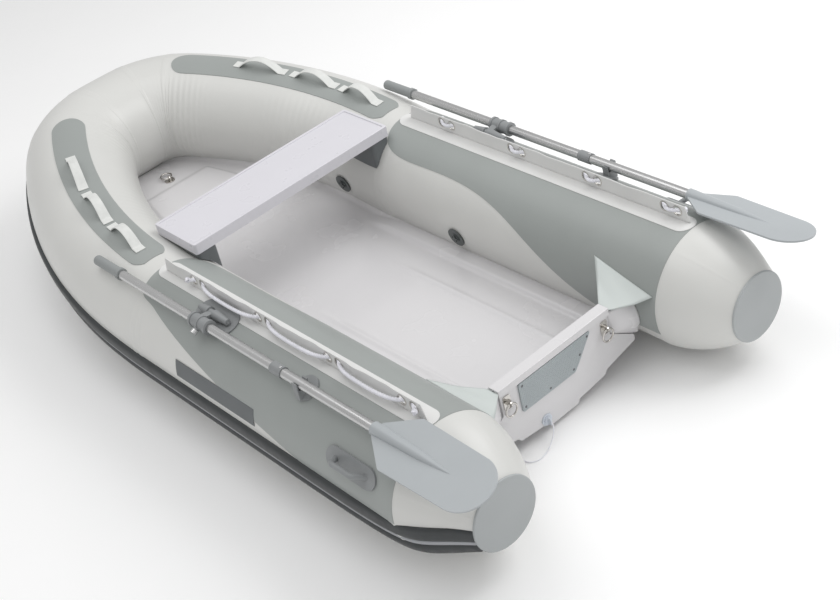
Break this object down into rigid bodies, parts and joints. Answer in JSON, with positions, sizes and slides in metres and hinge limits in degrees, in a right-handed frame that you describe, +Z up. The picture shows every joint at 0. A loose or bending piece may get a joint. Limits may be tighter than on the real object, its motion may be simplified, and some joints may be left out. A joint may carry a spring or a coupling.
{
  "type": "inflatable dinghy",
  "caption": "Rigid-hull inflatable tender with U-shaped air tube, bench seat, stowed oars in oarlocks and clips, lifelines, rub strake and transom.",
  "frame": {"origin": "on the ground under the keel strip, midway along the boat's whole length and breadth, oars stowed", "axes": "+X to the bow, +Y to port, +Z up"},
  "size_m": [2.797, 1.3986, 0.4955],
  "materials": {
    "tube_fabric": "satin",
    "rail_patch": "satin",
    "webbing": "matte",
    "grey_overlay": "satin",
    "cap_grey": "satin",
    "strake_dark": "matte",
    "strake_light": "matte",
    "stainless": "polished",
    "rope": "matte",
    "grey_moulding": "satin",
    "chrome_steel": "polished",
    "grip_grey": "satin",
    "anodised": "satin",
    "blade_grey": "satin",
    "seat_white": "satin",
    "bracket_dark": "matte",
    "valve_dark": "satin",
    "gelcoat": "gloss",
    "keel_grey": "satin",
    "pad_grey": "matte",
    "screw_dark": "satin",
    "gusset_fabric": "satin",
    "drain_plastic": "satin",
    "badge_dark": "matte"
  },
  "bodies": {
    "boat": {"bow_eye": "stainless", "bow_pads": "grey_overlay", "bow_tube": "tube_fabric", "carry_handles": "grey_moulding", "chamber_baffles": "tube_fabric", "deck": "gelcoat", "drain_socket": "drain_plastic", "end_caps": "cap_grey", "fasteners": "screw_dark", "grab_handles": "webbing", "hull": "gelcoat", "keel_strip": "keel_grey", "motor_pads": "pad_grey", "oar_clips": "grey_moulding", "oarlock_bases": "grey_moulding", "oarlock_pins": "chrome_steel", "port_lifeline": "rope", "port_tube": "tube_fabric", "rail_bases": "rail_patch", "rail_flaps": "webbing", "rail_grommets": "stainless", "rub_strake": "strake_dark", "seat_brackets": "bracket_dark", "side_badge": "badge_dark", "side_panels": "grey_overlay", "starboard_lifeline": "rope", "starboard_tube": "tube_fabric", "strake_stripe": "strake_light", "tail_cones": "tube_fabric", "towing_eyes": "stainless", "transom": "gelcoat", "transom_cap": "gelcoat", "transom_gussets": "gusset_fabric", "valve_bodies": "valve_dark"},
    "seat": {"seat": "seat_white"},
    "port_valve_cap": {"port_valve_cap": "valve_dark"},
    "starboard_valve_cap": {"starboard_valve_cap": "valve_dark"},
    "bow_valve_cap": {"bow_valve_cap": "valve_dark"},
    "port_tow_ring": {"port_tow_ring": "stainless"},
    "starboard_tow_ring": {"starboard_tow_ring": "stainless"},
    "bow_ring": {"bow_ring": "stainless"},
    "drain_plug": {"drain_plug": "drain_plastic", "drain_lanyard": "rope"},
    "port_lock": {"port_oar_swivel": "grey_moulding"},
    "port_knob": {"port_clamp_knob": "chrome_steel"},
    "port_oar": {"port_oar_loom": "anodised", "port_oar_grip": "grip_grey", "port_oar_shaft": "anodised", "port_joint_sleeve": "grey_moulding", "port_oar_blade": "blade_grey"},
    "port_button": {"port_snap_button": "chrome_steel"},
    "starboard_lock": {"starboard_oar_swivel": "grey_moulding"},
    "starboard_knob": {"starboard_clamp_knob": "chrome_steel"},
    "starboard_oar": {"starboard_oar_loom": "anodised", "starboard_oar_grip": "grip_grey", "starboard_oar_shaft": "anodised", "starboard_joint_sleeve": "grey_moulding", "starboard_oar_blade": "blade_grey"},
    "starboard_button": {"starboard_snap_button": "chrome_steel"}
  },
  "joints": [
    {"name": "port_oar_lift", "type": "hinge", "parent": "boat", "child": "port_lock", "pos_m": [-0.217, 0.54823, 0.397], "axis": [1, 0, 0], "range_deg": [0, 36]},
    {"name": "port_oar_slide", "type": "slide", "parent": "port_lock", "child": "port_oar", "axis": [1, 0, 0], "range_m": [-0.055, 0.02]},
    {"name": "port_knob_turn", "type": "hinge", "parent": "port_lock", "child": "port_knob", "pos_m": [-0.2305, 0.596, 0.4], "axis": [0, 0.9397, -0.342], "range_deg": [-180, 180]},
    {"name": "port_button_press", "type": "slide", "parent": "port_oar", "child": "port_button", "axis": [0, 0, -1], "range_m": [0, 0.0035], "stiffness_N_per_m": 800, "springref_m": -0.002},
    {"name": "port_tow_ring_swing", "type": "hinge", "parent": "boat", "child": "port_tow_ring", "pos_m": [-1.013, 0.19, 0.196], "axis": [0, 1, 0], "range_deg": [0, 170]},
    {"name": "starboard_oar_lift", "type": "hinge", "parent": "boat", "child": "starboard_lock", "pos_m": [-0.217, -0.54823, 0.397], "axis": [-1, 0, 0], "range_deg": [0, 36]},
    {"name": "starboard_oar_slide", "type": "slide", "parent": "starboard_lock", "child": "starboard_oar", "axis": [1, 0, 0], "range_m": [-0.055, 0.02]},
    {"name": "starboard_knob_turn", "type": "hinge", "parent": "starboard_lock", "child": "starboard_knob", "pos_m": [-0.2305, -0.596, 0.4], "axis": [0, -0.9397, -0.342], "range_deg": [-180, 180]},
    {"name": "starboard_button_press", "type": "slide", "parent": "starboard_oar", "child": "starboard_button", "axis": [0, 0, -1], "range_m": [0, 0.0035], "stiffness_N_per_m": 800, "springref_m": -0.002},
    {"name": "starboard_tow_ring_swing", "type": "hinge", "parent": "boat", "child": "starboard_tow_ring", "pos_m": [-1.013, -0.19, 0.196], "axis": [0, 1, 0], "range_deg": [0, 170]},
    {"name": "bow_ring_swing", "type": "hinge", "parent": "boat", "child": "bow_ring", "pos_m": [0.951, 0, 0.158], "axis": [0, -1, 0], "range_deg": [0, 180]},
    {"name": "port_valve_cap_turn", "type": "hinge", "parent": "boat", "child": "port_valve_cap", "pos_m": [-0.269, 0.30089, 0.16701], "axis": [0, -0.9848, -0.1736], "range_deg": [0, 90]},
    {"name": "starboard_valve_cap_turn", "type": "hinge", "parent": "boat", "child": "starboard_valve_cap", "pos_m": [-0.269, -0.30089, 0.16701], "axis": [0, 0.9848, -0.1736], "range_deg": [0, 90]},
    {"name": "bow_valve_cap_turn", "type": "hinge", "parent": "boat", "child": "bow_valve_cap", "pos_m": [0.29459, -0.29994, 0.1812], "axis": [-0.0187, 0.9841, -0.1764], "range_deg": [0, 90]},
    {"name": "seat_lift_out", "type": "slide", "parent": "boat", "child": "seat", "axis": [0, 0, 1], "range_m": [0, 0.15]},
    {"name": "drain_plug_pull", "type": "slide", "parent": "boat", "child": "drain_plug", "axis": [-1, 0, 0], "range_m": [0, 0.045]}
  ]
}
